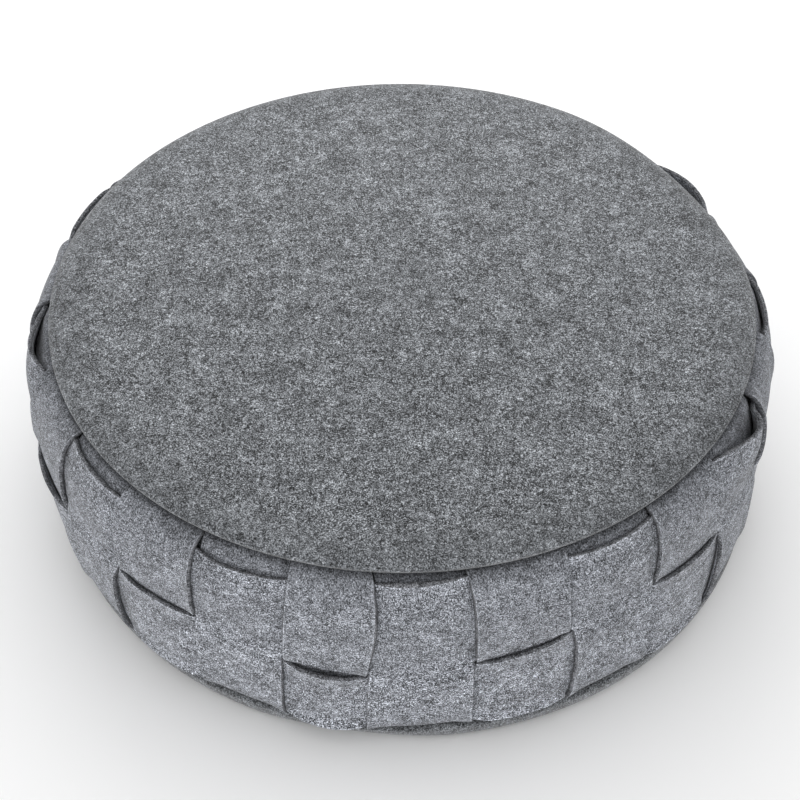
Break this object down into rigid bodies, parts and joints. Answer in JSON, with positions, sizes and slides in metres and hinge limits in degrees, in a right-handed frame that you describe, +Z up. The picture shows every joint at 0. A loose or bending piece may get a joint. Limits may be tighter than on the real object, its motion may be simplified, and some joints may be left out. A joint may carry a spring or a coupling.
{
  "type": "round woven felt seat cushion",
  "caption": "Round filled seat cushion with a crowned felt top, a flat underside and a side wall woven from broad felt strips.",
  "frame": {"origin": "on the floor under the middle of the flat underside, on the cushion's axis", "axes": "+Z up through the top panel; -Y is the side that faces the viewer; +X is the viewer's right"},
  "size_m": [0.4572, 0.4567, 0.1659],
  "materials": {
    "panel_felt": "mottled dark grey heather felt",
    "strip_felt": "mottled mid grey heather felt with a cool tint"
  },
  "bodies": {
    "root": {"cushion": "panel_felt", "upright_01": "strip_felt", "upright_02": "strip_felt", "upright_03": "strip_felt", "upright_04": "strip_felt", "upright_05": "strip_felt", "upright_06": "strip_felt", "upright_07": "strip_felt", "upright_08": "strip_felt", "upright_09": "strip_felt", "upright_10": "strip_felt", "upright_11": "strip_felt", "upright_12": "strip_felt", "upright_13": "strip_felt", "upright_14": "strip_felt", "upright_15": "strip_felt", "upright_16": "strip_felt", "upright_17": "strip_felt", "upright_18": "strip_felt", "upright_19": "strip_felt", "upright_20": "strip_felt", "upright_21": "strip_felt", "upright_22": "strip_felt", "upright_23": "strip_felt", "upright_24": "strip_felt", "hoop_upper": "strip_felt", "hoop_lower": "strip_felt"}
  },
  "joints": []
}
